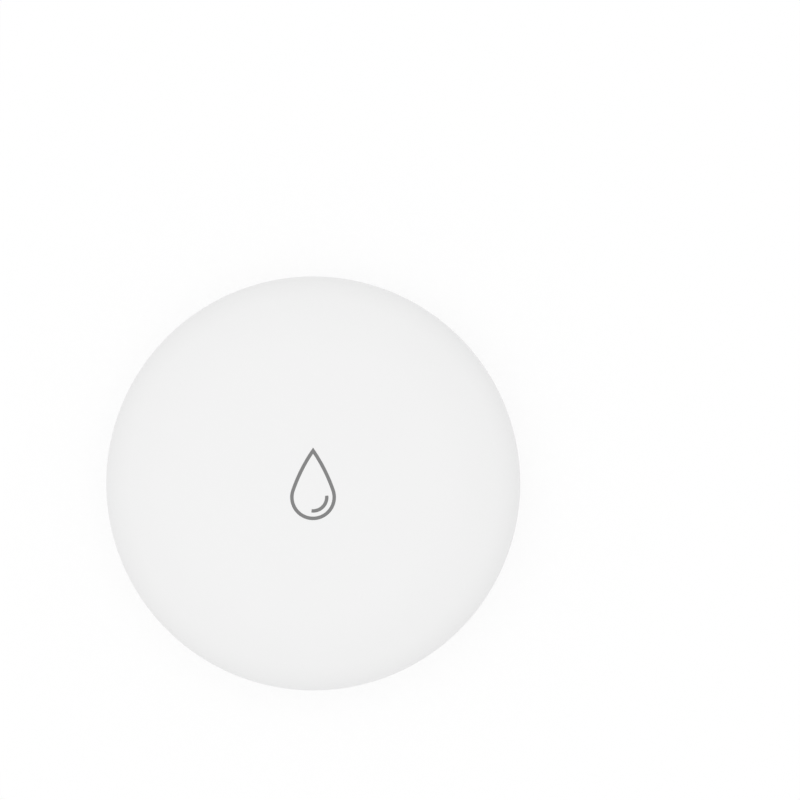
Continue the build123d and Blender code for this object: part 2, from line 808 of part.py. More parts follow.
# Single chips on the board
for chip_name, chip_size, chip_place_shares in (
    ("status_led", led_size, led_place_shares),
    ("radio_chip", radio_size, radio_place_shares),
    ("crystal", crystal_size, crystal_place_shares),
    ("antenna", antenna_size, antenna_place_shares),
    ("storage_capacitor", capacitor_size, capacitor_place_shares),
):
    chip = soldered_block(chip_size, chip_place_shares, chip_name)
    export_step(chip, f"parts/{chip_name}.step")

# Small resistors and capacitors, one node
small_parts = [soldered_block(passive_size, place, "passive") for place in passive_place_shares]
with BuildPart() as passive_parts:
    add(small_parts)
passive_parts.part.label = "passive_parts"
export_step(passive_parts.part, "parts/passive_parts.step")
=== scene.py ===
import math

import bmesh
import bpy
from mathutils import Matrix, Vector


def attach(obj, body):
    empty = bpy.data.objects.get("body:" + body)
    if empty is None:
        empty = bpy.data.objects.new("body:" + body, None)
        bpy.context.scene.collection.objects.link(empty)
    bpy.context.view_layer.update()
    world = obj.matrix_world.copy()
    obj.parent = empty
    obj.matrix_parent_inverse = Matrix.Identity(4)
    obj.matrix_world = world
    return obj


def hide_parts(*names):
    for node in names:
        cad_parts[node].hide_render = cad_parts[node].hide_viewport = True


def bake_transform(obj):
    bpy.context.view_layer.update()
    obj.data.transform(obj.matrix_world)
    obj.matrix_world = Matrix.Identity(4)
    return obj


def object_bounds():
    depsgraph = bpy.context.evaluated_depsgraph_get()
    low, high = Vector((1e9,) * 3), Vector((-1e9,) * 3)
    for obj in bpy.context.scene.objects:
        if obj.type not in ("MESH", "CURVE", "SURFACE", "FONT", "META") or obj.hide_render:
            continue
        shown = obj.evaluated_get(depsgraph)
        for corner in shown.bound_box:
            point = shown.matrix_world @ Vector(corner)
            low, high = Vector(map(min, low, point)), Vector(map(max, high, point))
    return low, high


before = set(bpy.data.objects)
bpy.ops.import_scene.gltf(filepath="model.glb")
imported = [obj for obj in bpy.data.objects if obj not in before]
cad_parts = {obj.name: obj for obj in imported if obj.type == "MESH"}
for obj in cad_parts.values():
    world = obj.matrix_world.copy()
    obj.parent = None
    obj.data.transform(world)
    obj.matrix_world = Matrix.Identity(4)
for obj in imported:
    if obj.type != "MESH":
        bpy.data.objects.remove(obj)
cad_low, cad_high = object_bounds()


# The view. The camera looks straight down on the dome, as the photograph's larger picture does.
# It stands far off with a very long lens: the photograph shows the object without perspective.
# Every size below is in millimetres, and mm turns it into metres.
mm = 0.001
frame_pixels = 800
dome_centre_pixels = (313.3, 483.45)
dome_radius_pixels = 206.95
widest_height = 7.91 * mm
camera_distance = 2400 * mm
metres_per_pixel = cad_high.x / dome_radius_pixels

camera_data = bpy.data.cameras.new("view_from_above")
camera_data.sensor_width = 36.0
camera_data.lens = camera_data.sensor_width * camera_distance / (frame_pixels * metres_per_pixel)
camera_data.clip_start = 0.01
camera_data.clip_end = 100.0
camera = bpy.data.objects.new("view_from_above", camera_data)
camera.location = (
    (frame_pixels / 2 - dome_centre_pixels[0]) * metres_per_pixel,
    (dome_centre_pixels[1] - frame_pixels / 2) * metres_per_pixel,
    widest_height + camera_distance,
)
bpy.context.scene.collection.objects.link(camera)
bpy.context.scene.camera = camera
bpy.context.scene.view_settings.view_transform = "Standard"


# The base cover, which is the foot that the sensor stands on. It is one moulding in white plastic:
# a chamfered dish with a spigot ring inside, four thread lugs on the ring, and a well for each probe.
# Two shallow notches in its rim let the fingers find the base to twist it off.
class Wire:
    """A socket of a node tree. Arithmetic on it adds Math nodes, and node() adds any other node."""

    def __init__(self, tree, socket=None):
        self.tree = tree
        self.socket = socket

    def node(self, kind, settings=None, sockets=None, output=0):
        made = self.tree.nodes.new(kind)
        for name, value in (settings or {}).items():
            if name == "stops":
                for stop, (place, shade) in zip(made.color_ramp.elements, value):
                    stop.position, stop.color = place, shade
            else:
                setattr(made, name, value)
        for name, value in (sockets or {}).items():
            if isinstance(value, Wire):
                self.tree.links.new(value.socket, made.inputs[name])
            else:
                made.inputs[name].default_value = value
        return Wire(self.tree, made.outputs[output])

    def math(self, operation, first, second=0.0):
        return self.node("ShaderNodeMath", {"operation": operation}, {0: first, 1: second})

    def vector(self, operation, first, second=(0.0, 0.0, 0.0), output=0):
        return self.node("ShaderNodeVectorMath", {"operation": operation}, {0: first, 1: second}, output)

    def __add__(self, other):
        return self.math("ADD", self, other)

    __radd__ = __add__

    def __sub__(self, other):
        return self.math("SUBTRACT", self, other)

    def __rsub__(self, other):
        return self.math("SUBTRACT", other, self)

    def __mul__(self, other):
        return self.math("MULTIPLY", self, other)

    __rmul__ = __mul__

    def clamped(self):
        return self.node("ShaderNodeClamp", None, {"Value": self})

    def __gt__(self, other):
        return self.math("GREATER_THAN", self, other)

    def __lt__(self, other):
        return self.math("LESS_THAN", self, other)


class Finish:
    """A material on its way: its shader, and the places on the piece that its textures follow."""

    def __init__(self, name, **fixed):
        self.material = bpy.data.materials.new(name)
        self.material.use_nodes = True
        self.tree = self.material.node_tree
        self.shader = self.tree.nodes["Principled BSDF"]
        self.wire = Wire(self.tree)
        self.place = self.wire.node("ShaderNodeTexCoord", output="Object")
        for name, value in fixed.items():
            self.shader.inputs[name.replace("_", " ").title().replace("Ior", "IOR")].default_value = value

    def axis(self, name):
        return self.wire.node("ShaderNodeSeparateXYZ", None, {0: self.place}, name)

    def noise(self, size, detail=2.0, stretch=(1.0, 1.0, 1.0)):
        """A soft even pattern whose grains have a size in millimetres, longer along a stretched axis."""
        place = self.wire.vector("DIVIDE", self.place, stretch)
        return self.wire.node(
            "ShaderNodeTexNoise", None, {"Vector": place, "Scale": 1 / (size * mm), "Detail": detail}
        )

    def mix(self, share, first, second):
        return self.wire.node("ShaderNodeMix", {"data_type": "RGBA"}, {0: share, 6: first, 7: second}, 2)

    def rubbed(self, edges):
        """How much a place is rubbed, from round edges given as (radius, height, reach) in millimetres."""
        flat = self.wire.vector("MULTIPLY", self.place, (1.0, 1.0, 0.0))
        radius = self.wire.vector("LENGTH", flat, output="Value")
        height = self.axis("Z")
        worn = 0.0
        for edge_at, edge_height, reach in edges:
            across, up = radius - edge_at * mm, height - edge_height * mm
            near = (1 - (across * across + up * up) * (1 / (reach * mm) ** 2)).clamped()
            worn = near + worn
        patches = self.noise(1.1, 4.0)
        return (worn * (patches + 0.25)).clamped()

    def feed(self, name, value):
        self.tree.links.new(value.socket, self.shader.inputs[name])

    def relief(self, height, depth):
        """Raises the surface by a pattern, to a depth in millimetres."""
        bump = self.wire.node("ShaderNodeBump", None, {"Distance": depth * mm, "Height": height}, "Normal")
        self.feed("Normal", bump)


def moulded(name, light, dark, roughness, spread, grain, depth, edges=(), **fixed):
    """Plastic as it leaves the mould: a tint that drifts slowly, and an even fine grain.
    Where hands and tables rub its edges, it is a little greyer and smoother."""
    made = Finish(name, **fixed)
    drift = made.noise(6.0, 3.0)
    specks = made.noise(grain, 3.0)
    tint = made.mix(drift * 0.7 + specks * 0.3, (*dark, 1.0), (*light, 1.0))
    rough = (drift * 0.4 + specks * 0.6 - 0.5) * spread + roughness
    if edges:
        worn = made.rubbed(edges)
        tint = made.mix(worn * 0.5, tint, (*(0.93 * value for value in dark), 1.0))
        rough = rough - worn * 0.12
    made.feed("Base Color", tint)
    made.feed("Roughness", rough)
    made.relief(specks, depth)
    return made


def rounded(corners, steps=5, support=0.03):
    """Points of a closed profile from corners (radius, height, rounding), with an arc at each corner.
    Beside each arc lies one more point, so that the flats keep a flat shade."""
    points = []
    for index, (radius, height, rounding) in enumerate(corners):
        here = Vector((radius, height))
        if not rounding:
            points.append(here)
            continue
        back = (Vector(corners[index - 1][:2]) - here).normalized()
        ahead = (Vector(corners[(index + 1) % len(corners)][:2]) - here).normalized()
        turn = math.pi - back.angle(ahead)
        reach = rounding * math.tan(turn / 2)
        centre = here + (back + ahead).normalized() * rounding / math.cos(turn / 2)
        start = here + back * reach - centre
        sweep = turn if back.y * ahead.x > back.x * ahead.y else -turn
        points.append(here + back * (reach + support))
        for step in range(steps + 1):
            angle = sweep * step / steps
            points.append(centre + Matrix.Rotation(angle, 2) @ start)
        points.append(here + ahead * (reach + support))
    return points


def even_angles(count):
    return [2 * math.pi * step / count for step in range(count)]


def turned(points, angles=None, at=(0.0, 0.0)):
    """A solid of revolution from a profile, about an upright axis at a place.
    A profile that begins and ends on the axis is closed there by one flat face at each end."""
    angles = angles or even_angles(192)
    shape = bmesh.new()
    on_axis = points[0][0] < 1e-6
    rings = [
        [
            shape.verts.new((at[0] + radius * math.cos(a), at[1] + radius * math.sin(a), height))
            for a in angles
        ]
        for radius, height in (points[1:-1] if on_axis else points)
    ]
    for low, high in zip(rings, rings[1:] if on_axis else rings[1:] + rings[:1]):
        for step in range(len(angles)):
            after = (step + 1) % len(angles)
            shape.faces.new((low[step], low[after], high[after], high[step]))
    if on_axis:
        shape.faces.new(rings[0])
        shape.faces.new(rings[-1])
    bmesh.ops.recalc_face_normals(shape, faces=shape.faces)
    return shape


def together(shapes):
    """Several solids that don't touch, as one mesh."""
    whole = bmesh.new()
    for shape in shapes:
        part = bpy.data.meshes.new("part")
        shape.to_mesh(part)
        shape.free()
        whole.from_mesh(part)
        bpy.data.meshes.remove(part)
    return whole


def combined(first, second, operation):
    """One solid with another joined to it or cut out of it."""
    solids = []
    for shape in (first, second):
        mesh = bpy.data.meshes.new("solid")
        shape.to_mesh(mesh)
        shape.free()
        solids.append(bpy.data.objects.new("solid", mesh))
        bpy.context.scene.collection.objects.link(solids[-1])
    step = solids[0].modifiers.new("combine", "BOOLEAN")
    step.object, step.operation, step.solver = solids[1], operation, "EXACT"
    evaluated = solids[0].evaluated_get(bpy.context.evaluated_depsgraph_get())
    result = bmesh.new()
    result.from_mesh(evaluated.to_mesh())
    hair = 0.0005
    bmesh.ops.remove_doubles(result, verts=result.verts, dist=hair)
    bmesh.ops.dissolve_degenerate(result, edges=result.edges, dist=hair)
    for solid in solids:
        bpy.data.objects.remove(solid)
    return result


def piece(name, shape, finishes, stands_for=(), body=None):
    """Makes a piece from a solid in millimetres, with its finish, body and the CAD nodes it stands for."""
    bmesh.ops.transform(shape, matrix=Matrix.Scale(mm, 4), verts=shape.verts)
    mesh = bpy.data.meshes.new(name)
    shape.to_mesh(mesh)
    shape.free()
    for finish in finishes:
        mesh.materials.append(finish.material)
    mesh.shade_smooth()
    mesh.set_sharp_from_angle(angle=math.radians(34))
    made = bpy.data.objects.new(name, mesh)
    bpy.context.scene.collection.objects.link(made)
    if body:
        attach(made, body)
    if stands_for:
        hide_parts(*stands_for)
    return made


def lugs(inner_radius, outer_radius, bottom):
    """The four lugs of the quick thread, whose faces climb with its turn."""
    width, height, climb, rounding, columns = 3.4, 0.7, 0.2593, 0.1, 12
    made = []
    for quarter in range(4):
        shape = bmesh.new()
        rings = []
        for column in range(columns + 1):
            side = width * (column / columns - 0.5)
            rise = climb * side / (width / 2)
            inner = math.sqrt(inner_radius**2 - side**2)
            outer = math.sqrt(outer_radius**2 - side**2)
            low, high = bottom + rise, bottom + rise + height
            corners = ((inner, low), (outer, low), (outer, high), (inner, high))
            rings.append([shape.verts.new((along, side, up)) for along, up in corners])
        for one, other in zip(rings, rings[1:]):
            for corner in range(4):
                after = (corner + 1) % 4
                shape.faces.new((one[corner], one[after], other[after], other[corner]))
        shape.faces.new(rings[0])
        shape.faces.new(rings[-1])
        bmesh.ops.recalc_face_normals(shape, faces=shape.faces)
        sharp = [edge for edge in shape.edges if edge.calc_face_angle() > math.radians(60)]
        bmesh.ops.bevel(shape, geom=sharp, offset=rounding, segments=3, affect="EDGES", profile=0.5)
        turn = Matrix.Rotation(quarter * math.pi / 2, 4, "Z")
        bmesh.ops.transform(shape, matrix=turn, verts=shape.verts)
        made.append(shape)
    return together(made)


foot_radius, rim_radius, rim_inner_radius, slope_radius = 16.4, 19.48, 18.65, 17.23
rim_low, rim_top, slope_top, floor_top = 1.43, 3.06, 1.96, 1.3
spigot_inner_radius, spigot_outer_radius, spigot_top = 14.35, 15.65, 3.7
foot_rounding, root_rounding, slope_rounding, lip_rounding, edge_rounding = 0.45, 0.3, 0.25, 0.12, 0.1
notch_half, notch_depth, notch_softening = 5.5, 0.66, (-0.1, -0.05, 0.0, 0.05, 0.1)
notch_end_turn, notch_end_half, notch_end_steps = math.radians(15.8), math.radians(2.3), 16
rim_band_height, rim_band_width = 0.2, 0.1
probe_place, probe_well_radius, probe_well_top, probe_hole_radius = 12.4, 2.05, 1.1, 0.9
boss_radius, boss_top, boss_root = 2.8, 2.0, 0.4
battery_bore_radius, bore_low, bore_high = 10.3, 0.5, 3.0
well_overrun, well_flare, flare_steps = 0.5, 0.1, 4
base_lug_radii, base_lug_bottom = (15.0, 16.25), 2.7407
probe_spots = [(0.0, side * probe_place) for side in (-1, 1)]

base_profile = rounded([
    (0.0, 0.0, 0.0),
    (foot_radius, 0.0, foot_rounding),
    (rim_radius, rim_low, foot_rounding),
    (rim_radius, rim_top, lip_rounding),
    (rim_inner_radius, rim_top, edge_rounding),
    (rim_inner_radius, slope_top, lip_rounding),
    (slope_radius, floor_top, slope_rounding),
    (spigot_outer_radius, floor_top, root_rounding),
    (spigot_outer_radius, spigot_top, lip_rounding),
    (spigot_inner_radius, spigot_top, lip_rounding),
    (spigot_inner_radius, floor_top, root_rounding),
    (0.0, floor_top, 0.0),
])
notch_ends = [middle + side * notch_end_turn for middle in (0.0, math.pi) for side in (-1, 1)]


def beside_notch_end(angle):
    gaps = [abs((angle - end + math.pi) % (2 * math.pi) - math.pi) for end in notch_ends]
    return min(gaps) < notch_end_half


def notch_drop(side):
    """How far the rim lies lower at a distance from the notch's middle, with softened ends."""
    drops = [min(max(notch_half - abs(side) + shift, 0.0), notch_depth) for shift in notch_softening]
    return sum(drops) / len(drops)


base_angles = [angle for angle in even_angles(240) if not beside_notch_end(angle)]
for end in notch_ends:
    base_angles += [
        (end + notch_end_half * step / notch_end_steps) % (2 * math.pi)
        for step in range(-notch_end_steps, notch_end_steps + 1)
    ]
base_shape = turned(base_profile, sorted(base_angles))
for vertex in base_shape.verts:
    if vertex.co.z > rim_top - rim_band_height and vertex.co.xy.length > rim_inner_radius - rim_band_width:
        vertex.co.z -= notch_drop(vertex.co.y)

boss_profile = rounded([
    (0.0, floor_top - boss_root, 0.0),
    (boss_radius, floor_top - boss_root, 0.0),
    (boss_radius, boss_top, lip_rounding),
    (0.0, boss_top, 0.0),
])
probe_bosses = together([turned(boss_profile, even_angles(64), spot) for spot in probe_spots])
battery_bore = turned([
    (0.0, bore_low), (battery_bore_radius, bore_low), (battery_bore_radius, bore_high), (0.0, bore_high),
])
probe_bosses = combined(probe_bosses, battery_bore, "DIFFERENCE")

flare_angles = [math.pi / 2 * step / flare_steps for step in range(flare_steps, -1, -1)]
well_profile = [(0.0, -well_overrun), (probe_well_radius + well_flare, -well_overrun)]
well_profile += [
    (probe_well_radius + well_flare * (1 - math.cos(angle)), well_flare * (1 - math.sin(angle)))
    for angle in flare_angles
]
well_profile += [
    (probe_well_radius, probe_well_top),
    (probe_hole_radius, probe_well_top),
    (probe_hole_radius, boss_top + well_overrun),
    (0.0, boss_top + well_overrun),
]
probe_wells = together([turned(well_profile, even_angles(64), spot) for spot in probe_spots])
base_shape = combined(base_shape, probe_bosses, "UNION")
base_shape = combined(base_shape, lugs(*base_lug_radii, base_lug_bottom), "UNION")
base_shape = combined(base_shape, probe_wells, "DIFFERENCE")

shell_light, shell_dark = (0.889, 0.889, 0.889), (0.874, 0.874, 0.874)
base_wear = [(foot_radius, 0.0, 0.5), (rim_radius, rim_low, 0.35), (rim_radius, rim_top, 0.3)]
base_white = moulded(
    "base_white", shell_light, shell_dark, roughness=0.44, spread=0.14, grain=0.11, depth=0.004,
    edges=base_wear, specular_ior_level=0.45,
)
piece("foot_cover", base_shape, [base_white], ["base_cover"], "base")


# The probes' seals: two washers of soft silicone, one under each probe's head.
# They are squeezed between the head and the floor of its well, and keep the water out of the base.
washer_hole_radius, washer_radius, washer_low, washer_high = 0.85, 1.9, 0.85, 1.1
washer_hole_rounding, washer_rounding = 0.06, 0.1
washer_profile = rounded([
    (washer_hole_radius, washer_low, washer_hole_rounding),
    (washer_radius, washer_low, washer_rounding),
    (washer_radius, washer_high, washer_rounding),
    (washer_hole_radius, washer_high, washer_hole_rounding),
], steps=4, support=0.01)
silicone = moulded(
    "grey_silicone", (0.42, 0.43, 0.44), (0.36, 0.37, 0.38),
    roughness=0.5, spread=0.15, grain=0.2, depth=0.002, subsurface_weight=0.1,
)
probe_seals = together([turned(washer_profile, even_angles(64), spot) for spot in probe_spots])
piece("probe_washers", probe_seals, [silicone], ["probe_seals"], "base")


# The probes: two stainless screws whose broad flat heads feel the water, front and back.
# Each head is turned, with a cross recess, and lies just inside the foot's face; a nut holds it inside.
def prism(outline, low, high):
    """An upright solid from an outline of (x, y) points."""
    shape = bmesh.new()
    lower = [shape.verts.new((x, y, low)) for x, y in outline]
    upper = [shape.verts.new((x, y, high)) for x, y in outline]
    shape.faces.new(lower)
    shape.faces.new(upper)
    for index in range(len(outline)):
        after = (index + 1) % len(outline)
        shape.faces.new((lower[index], lower[after], upper[after], upper[index]))
    bmesh.ops.recalc_face_normals(shape, faces=shape.faces)
    return shape


def cross_outline(length, width, x, y):
    """A plus sign's outline about a place."""
    far, near = length / 2, width / 2
    corner = [(far, -near), (far, near), (near, near)]
    points = []
    for quarter in range(4):
        turn = Matrix.Rotation(quarter * math.pi / 2, 2)
        points += [tuple(turn @ Vector(point)) for point in corner]
    return [(x + dx, y + dy) for dx, dy in points]


turned_steel = Finish("turned_steel", metallic=1.0)
tool_marks_per_mm = 9
probe_distance = turned_steel.wire.vector(
    "DISTANCE",
    turned_steel.wire.vector(
        "MULTIPLY", turned_steel.wire.vector("ABSOLUTE", turned_steel.place), (1.0, 1.0, 0.0)
    ),
    (0.0, probe_place * mm, 0.0),
    "Value",
)
tool_marks = turned_steel.wire.node(
    "ShaderNodeTexNoise",
    {"noise_dimensions": "1D"},
    {"W": probe_distance, "Scale": tool_marks_per_mm / mm, "Detail": 2.0},
)
steel_drift = turned_steel.noise(1.2, 3.0)
turned_steel.feed(
    "Base Color", turned_steel.mix(steel_drift, (0.55, 0.545, 0.53, 1.0), (0.66, 0.655, 0.64, 1.0))
)
turned_steel.feed("Roughness", steel_drift * 0.12 + tool_marks * 0.14 + 0.16)
turned_steel.relief(tool_marks, 0.0015)


def screw(at, head, head_rounding, crest, root, pitch, tip, cross):
    """A pan-head screw with its head down: head is (radius, low, high), and its thread is a true helix.
    The cross recess is (length, width, depth)."""
    head_radius, low, high = head
    neck_rounding, tip_share, recess_overrun = 0.05, 0.8, 0.4
    rows_per_turn, fine_steps = 8, 800
    first, last = high + pitch / 2, tip - pitch / 2
    fine = (last - first) / fine_steps
    spacing = max(1, round(pitch / rows_per_turn / fine))
    corners = rounded([
        (0.0, low, 0.0),
        (head_radius, low, head_rounding),
        (head_radius, high, neck_rounding),
        (root, high, 0.0),
    ])
    shaft = [(root, first + fine * step) for step in range(0, fine_steps + 1, spacing)]
    shape = turned(corners + shaft + [(root * tip_share, tip), (0.0, tip)], even_angles(48), at)
    for vertex in shape.verts:
        away = vertex.co.xy - Vector(at)
        if vertex.co.z < first - 1e-6 or abs(away.length - root) > 1e-4:
            continue
        phase = (vertex.co.z / pitch - math.atan2(away.y, away.x) / (2 * math.pi)) % 1.0
        ridge = min(max(1.5 - 4 * abs(phase - 0.5), 0.0), 1.0)
        fade = min((vertex.co.z - first) / pitch, (last - vertex.co.z) / pitch + 0.2, 1.0)
        radius = root + (crest - root) * ridge * max(fade, 0.0)
        vertex.co.xy = Vector(at) + away.normalized() * radius
    length, width, depth = cross
    recess = prism(cross_outline(length, width, *at), low - recess_overrun, low + depth)
    return combined(shape, recess, "DIFFERENCE")


for node_name, spot in zip(("probe_front", "probe_back"), probe_spots):
    probe = screw(
        spot, head=(2.0, 0.05, 0.85), head_rounding=0.2, crest=0.8, root=0.62, pitch=0.35, tip=3.45,
        cross=(2.2, 0.6, 0.45),
    )
    piece(node_name + "_screw", probe, [turned_steel], [node_name], "base")


# The probes' nuts: two stainless hexagon nuts, pressed and chamfered, on the base's inner face.
def dress(node_name, finish, rounding=0.0):
    """Gives a CAD node its finish and keeps its shape, apart from edges softened by a rounding."""
    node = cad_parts[node_name]
    node.data.materials.clear()
    node.data.materials.append(finish.material)
    if rounding:
        join = node.modifiers.new("join_faces", "WELD")
        join.merge_threshold = 0.001 * mm
        soften = node.modifiers.new("soften_edges", "BEVEL")
        soften.width, soften.segments = rounding * mm, 2
        soften.limit_method, soften.angle_limit = "ANGLE", math.radians(50)
        soften.harden_normals = True


pressed_steel = Finish("pressed_steel", metallic=1.0)
pressed_drift = pressed_steel.noise(0.8, 3.0)
pressed_steel.feed(
    "Base Color", pressed_steel.mix(pressed_drift, (0.52, 0.51, 0.5, 1.0), (0.68, 0.67, 0.65, 1.0))
)
pressed_steel.feed("Roughness", pressed_drift * 0.25 + 0.2)
pressed_steel.relief(pressed_steel.noise(0.15, 4.0), 0.002)
dress("probe_nuts", pressed_steel, rounding=0.05)


# The battery pad: a thin round of black closed-cell foam, cut from sheet and stuck to the base's floor.
# It presses the coin cell up against its contacts. Its cut edge bulges a little under the cell.
foam = Finish("cell_foam", roughness=0.9)
cells = foam.wire.node("ShaderNodeTexVoronoi", None, {"Vector": foam.place, "Scale": 1 / (0.22 * mm)})
foam_drift = foam.noise(1.5, 3.0)
foam.feed(
    "Base Color",
    foam.mix(cells * 0.6 + foam_drift * 0.4, (0.012, 0.012, 0.013, 1.0), (0.05, 0.05, 0.052, 1.0)),
)
foam.feed("Roughness", foam_drift * 0.15 + 0.78)
foam.relief(cells, 0.05)

pad_radius, pad_low, pad_high = 5.93, 1.3, 1.85
pad_lip, pad_bulge, bulge_steps = 0.03, 0.06, 8
bulge_low, bulge_high = pad_low + 0.05, pad_high - 0.08
pad_dip, pad_ripple, flat_inset, top_inset = 0.02, 0.012, 0.2, 0.1
ripple_across, ripple_along, ripple_start = 2.1, 1.7, 0.7
pad_profile = [(0.0, pad_low), (pad_radius - pad_lip, pad_low)]
for step in range(bulge_steps + 1):
    share = step / bulge_steps
    bulge = pad_bulge * math.sin(math.pi * share)
    pad_profile.append((pad_radius + bulge, bulge_low + (bulge_high - bulge_low) * share))
pad_profile += [(pad_radius - pad_lip, pad_high - pad_lip), (pad_radius - top_inset, pad_high)]
pad_profile += [(pad_radius * share, pad_high) for share in (0.9, 0.75, 0.6, 0.45, 0.3, 0.15, 0.0)]
pad_shape = turned(pad_profile, even_angles(128))
for vertex in pad_shape.verts:
    if vertex.co.z > pad_high - pad_lip / 3 and vertex.co.xy.length < pad_radius - flat_inset:
        ripple = math.sin(ripple_across * vertex.co.x + ripple_start) * math.cos(ripple_along * vertex.co.y)
        vertex.co.z -= pad_dip + pad_ripple * ripple
battery_pad = piece("cell_pad", pad_shape, [foam], ["battery_pad"], "base")


# The battery compartment's seal: a ring of grey silicone with rounded lips.
# It lies in a groove of the housing, and the end of the base's spigot closes on it.
ring_inner_radius, ring_outer_radius, ring_low, ring_high = 14.45, 15.55, 3.75, 4.65
ring_lip, ring_back = 0.28, 0.12
battery_seal = turned(rounded([
    (ring_inner_radius, ring_low, ring_lip),
    (ring_outer_radius, ring_low, ring_lip),
    (ring_outer_radius, ring_high, ring_back),
    (ring_inner_radius, ring_high, ring_back),
], steps=6))
piece("compartment_ring", battery_seal, [silicone], ["battery_seal"], "seal_ring")


# The lower housing: one moulding of the dome's white plastic, painted a little greyer as shade for its neck,
# which stands in shade between base and dome. Its plate closes the dome from below, its neck goes down into
# the base, and its middle holds the coin cell, open towards the base.
# Four lugs inside the neck take the base's thread; two ribs and two pegs carry the circuit board.
holder_low, holder_radius, plate_low, plate_top, plate_radius = 3.35, 11.2, 4.0, 5.82, 22.3
groove_inner_radius, groove_outer_radius, groove_top = 14.4, 15.6, 4.7
neck_inner_radius, neck_foot_radius, neck_radius = 16.4, 17.444, 18.45
neck_low, neck_chamfer_top, back_height = 1.7, 2.167, 4.52
cord_groove_radius, cord_groove_low, cord_groove_top = 21.62, 5.0, 5.9
wall_inner_radius, wall_top, rib_inner_radius, rib_outer_radius, rib_top = 20.8, 6.4, 17.2, 18.2, 6.2
chamfer_rounding, neck_rounding, seat_rounding, rib_rounding = 0.15, 0.18, 0.08, 0.06
cord_groove_rounding, groove_rounding = 0.05, 0.03
cut_low, cut_high = 3.5, 6.5
housing_lug_radii, housing_lug_bottom = (15.8, 16.9), 1.9807

housing_profile = rounded([
    (battery_bore_radius, holder_low, edge_rounding),
    (holder_radius, holder_low, edge_rounding),
    (holder_radius, plate_low, seat_rounding),
    (groove_inner_radius, plate_low, groove_rounding),
    (groove_inner_radius, groove_top, seat_rounding),
    (groove_outer_radius, groove_top, seat_rounding),
    (groove_outer_radius, plate_low, seat_rounding),
    (neck_inner_radius, plate_low, edge_rounding),
    (neck_inner_radius, neck_low, lip_rounding),
    (neck_foot_radius, neck_low, edge_rounding),
    (neck_radius, neck_chamfer_top, chamfer_rounding),
    (neck_radius, back_height, neck_rounding),
    (plate_radius, back_height, edge_rounding),
    (plate_radius, cord_groove_low, cord_groove_rounding),
    (cord_groove_radius, cord_groove_low, seat_rounding),
    (cord_groove_radius, cord_groove_top, seat_rounding),
    (plate_radius, cord_groove_top, cord_groove_rounding),
    (plate_radius, wall_top, edge_rounding),
    (wall_inner_radius, wall_top, edge_rounding),
    (wall_inner_radius, plate_top, edge_rounding),
    (rib_outer_radius, plate_top, seat_rounding),
    (rib_outer_radius, rib_top, rib_rounding),
    (rib_inner_radius, rib_top, rib_rounding),
    (rib_inner_radius, plate_top, seat_rounding),
    (battery_bore_radius, plate_top, edge_rounding),
], steps=4)

peg_place, peg_radius, peg_low, peg_top = 17.7, 0.6, 6.0, 7.5
peg_profile = rounded([
    (0.0, peg_low, 0.0),
    (peg_radius, peg_low, 0.0),
    (peg_radius, peg_top, lip_rounding),
    (0.0, peg_top, 0.0),
], steps=4)
pegs = together([turned(peg_profile, even_angles(40), (side * peg_place, 0.0)) for side in (1, -1)])

screw_place, shaft_hole_radius = 12.8, 0.95
screw_well_radius, screw_well_flare, screw_well_top = 1.5, 0.06, 4.9
screw_turns = [math.radians(45 + 90 * quarter) for quarter in range(4)]
screw_spots = [(screw_place * math.cos(turn), screw_place * math.sin(turn)) for turn in screw_turns]
screw_well_profile = [
    (0.0, cut_low),
    (screw_well_radius + screw_well_flare, cut_low),
    (screw_well_radius + screw_well_flare, plate_low),
    (screw_well_radius, plate_low + screw_well_flare),
    (screw_well_radius, screw_well_top),
    (shaft_hole_radius, screw_well_top),
    (shaft_hole_radius, cut_high),
    (0.0, cut_high),
]
screw_wells = together([turned(screw_well_profile, even_angles(64), spot) for spot in screw_spots])

window_half, window_corner, window_place, corner_steps = 1.3, 0.3, 12.6, 4
window_outline = []
for quarter in range(4):
    middle = math.pi / 4 + math.pi / 2 * quarter
    inner = (window_half - window_corner) * math.sqrt(2)
    for step in range(corner_steps + 1):
        angle = math.pi / 2 * (quarter + step / corner_steps)
        window_outline.append((
            inner * math.cos(middle) + window_corner * math.cos(angle),
            inner * math.sin(middle) + window_corner * math.sin(angle),
        ))
windows = together([
    prism([(x, y + side * window_place) for x, y in window_outline], cut_low, cut_high) for side in (-1, 1)
])
housing_shape = turned(housing_profile, even_angles(240))
housing_shape = combined(housing_shape, lugs(*housing_lug_radii, housing_lug_bottom), "UNION")
housing_shape = combined(housing_shape, pegs, "UNION")
housing_shape = combined(housing_shape, screw_wells, "DIFFERENCE")
housing_shape = combined(housing_shape, windows, "DIFFERENCE")

# Painted shade: this white is darker than the dome's, standing in for the shade that the neck lies in.
shaded_neck_white = moulded(
    "shaded_neck_white", (0.83, 0.83, 0.83), (0.81, 0.81, 0.81), roughness=0.5, spread=0.14, grain=0.12, depth=0.005,
    edges=[(neck_radius, neck_chamfer_top, 0.3)], specular_ior_level=0.45,
)
piece("neck_housing", housing_shape, [shaded_neck_white], ["lower_housing"], "housing")


# The case seal: a round silicone cord, moulded as a ring, in the groove at the plate's edge.
# The dome's skirt slides over it and squeezes it.
cord_radius, cord_ring_radius, cord_height = 0.39, 22.01, 5.45
cord_profile = [
    (cord_ring_radius + cord_radius * math.cos(angle), cord_height + cord_radius * math.sin(angle))
    for angle in even_angles(24)
]
case_seal = turned(cord_profile, even_angles(240))
piece("case_ring", case_seal, [silicone], ["case_seal"], "housing")


